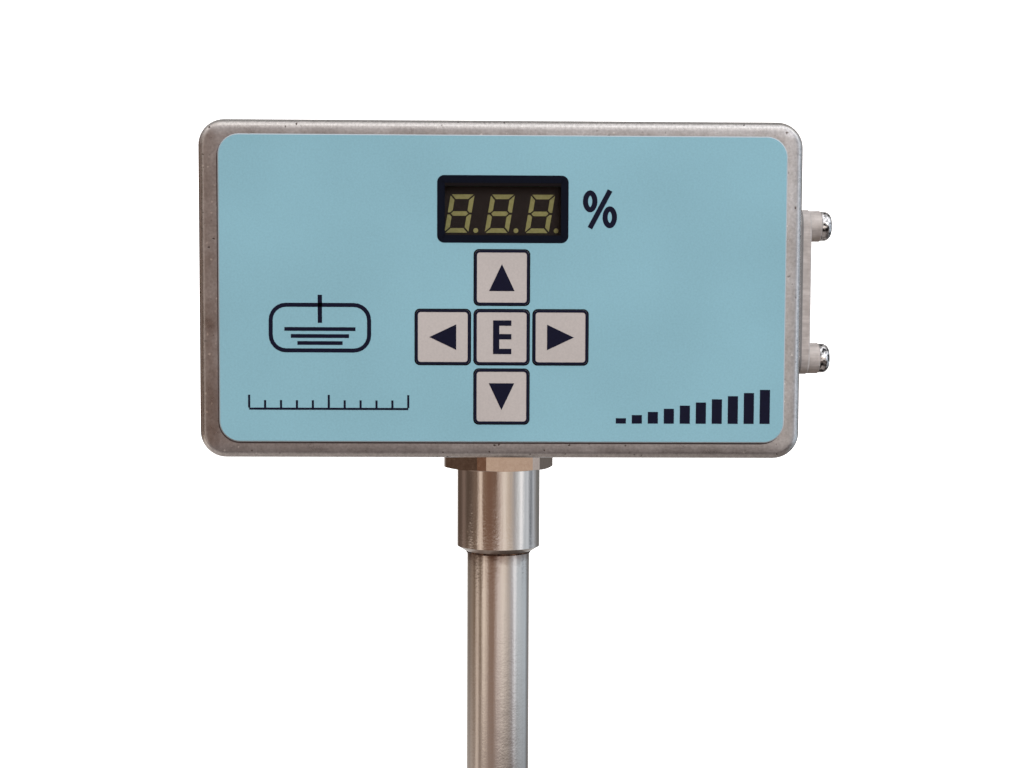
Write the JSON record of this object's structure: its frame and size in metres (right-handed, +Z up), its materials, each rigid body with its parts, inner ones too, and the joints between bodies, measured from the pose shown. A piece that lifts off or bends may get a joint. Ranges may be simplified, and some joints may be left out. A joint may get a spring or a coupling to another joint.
{
  "type": "cryogenic level gauge",
  "caption": "Die-cast box with a film keypad and a seven-segment percent display, a covered side port, and a steel stem with a coaxial tube probe below.",
  "frame": {"origin": "on the probe's axis, where the stem ends and the bare tube begins", "axes": "+X to the viewer's right, +Y from the keypad to the back, +Z up along the probe"},
  "size_m": [0.1211, 0.0563, 0.2855],
  "materials": {
    "cast_aluminium": "as-cast, lightly brushed",
    "steel": "drawn and polished",
    "plated_steel": "plated",
    "plated_nut": "nickel plated",
    "spring_steel": "bright",
    "rubber": "matt",
    "blue_film": "printed film, fine texture",
    "key_film": "printed film, fine texture",
    "clear_film": "clear film",
    "pane": "clear",
    "display_black": "matt",
    "display_bars": "unlit, diffusing",
    "board": "solder mask",
    "black_plastic": "moulded",
    "green_plastic": "moulded",
    "tin": "tinned",
    "white_fluoroplastic": "turned",
    "cell_jacket": "shrink sleeve",
    "lead_jacket": "extruded",
    "plain_cover": "milled"
  },
  "bodies": {
    "gauge": {"battery_contacts": "spring_steel", "battery_holder": "black_plastic", "battery_lead": "lead_jacket", "battery_lower": "cell_jacket", "battery_terminal": "green_plastic", "battery_upper": "cell_jacket", "board_screws": "steel", "display_pins": "tin", "display_window": "pane", "dome_down": "spring_steel", "dome_enter": "spring_steel", "dome_left": "spring_steel", "dome_right": "spring_steel", "dome_up": "spring_steel", "electrode_spacers": "white_fluoroplastic", "end_guide": "white_fluoroplastic", "feedthrough_insulator": "white_fluoroplastic", "feedthrough_pin": "plated_nut", "header_pins": "tin", "holder_screws": "steel", "housing": "cast_aluminium", "inner_electrode": "steel", "inner_nut": "plated_nut", "keypad_circuit": "clear_film", "keypad_overlay": "blue_film", "keypad_spacer": "clear_film", "led_display": "display_black", "led_segments": "display_bars", "lid_gasket": "rubber", "lid_screws": "steel", "main_board": "board", "measuring_shield": "tin", "outer_nut": "plated_nut", "port_cover": "plain_cover", "port_gasket": "rubber", "port_screws": "plated_steel", "power_capacitor": "cast_aluminium", "probe_stem": "steel", "probe_tube": "steel", "processor": "black_plastic", "rear_lid": "cast_aluminium", "sense_lead": "lead_jacket", "sense_terminal": "green_plastic", "service_header": "black_plastic", "stem_seal": "rubber", "tail_connector": "black_plastic"},
    "up_key": {"key_up": "key_film"},
    "down_key": {"key_down": "key_film"},
    "left_key": {"key_left": "key_film"},
    "right_key": {"key_right": "key_film"},
    "enter_key": {"key_enter": "key_film"}
  },
  "joints": [
    {"name": "key_up_press", "type": "slide", "parent": "gauge", "child": "up_key", "axis": [0, 1, 0], "range_m": [0, 0.00025], "stiffness_N_per_m": 3000, "deforming": ["dome_up"]},
    {"name": "key_down_press", "type": "slide", "parent": "gauge", "child": "down_key", "axis": [0, 1, 0], "range_m": [0, 0.00025], "stiffness_N_per_m": 3000, "deforming": ["dome_down"]},
    {"name": "key_left_press", "type": "slide", "parent": "gauge", "child": "left_key", "axis": [0, 1, 0], "range_m": [0, 0.00025], "stiffness_N_per_m": 3000, "deforming": ["dome_left"]},
    {"name": "key_right_press", "type": "slide", "parent": "gauge", "child": "right_key", "axis": [0, 1, 0], "range_m": [0, 0.00025], "stiffness_N_per_m": 3000, "deforming": ["dome_right"]},
    {"name": "key_enter_press", "type": "slide", "parent": "gauge", "child": "enter_key", "axis": [0, 1, 0], "range_m": [0, 0.00025], "stiffness_N_per_m": 3000, "deforming": ["dome_enter"]}
  ]
}
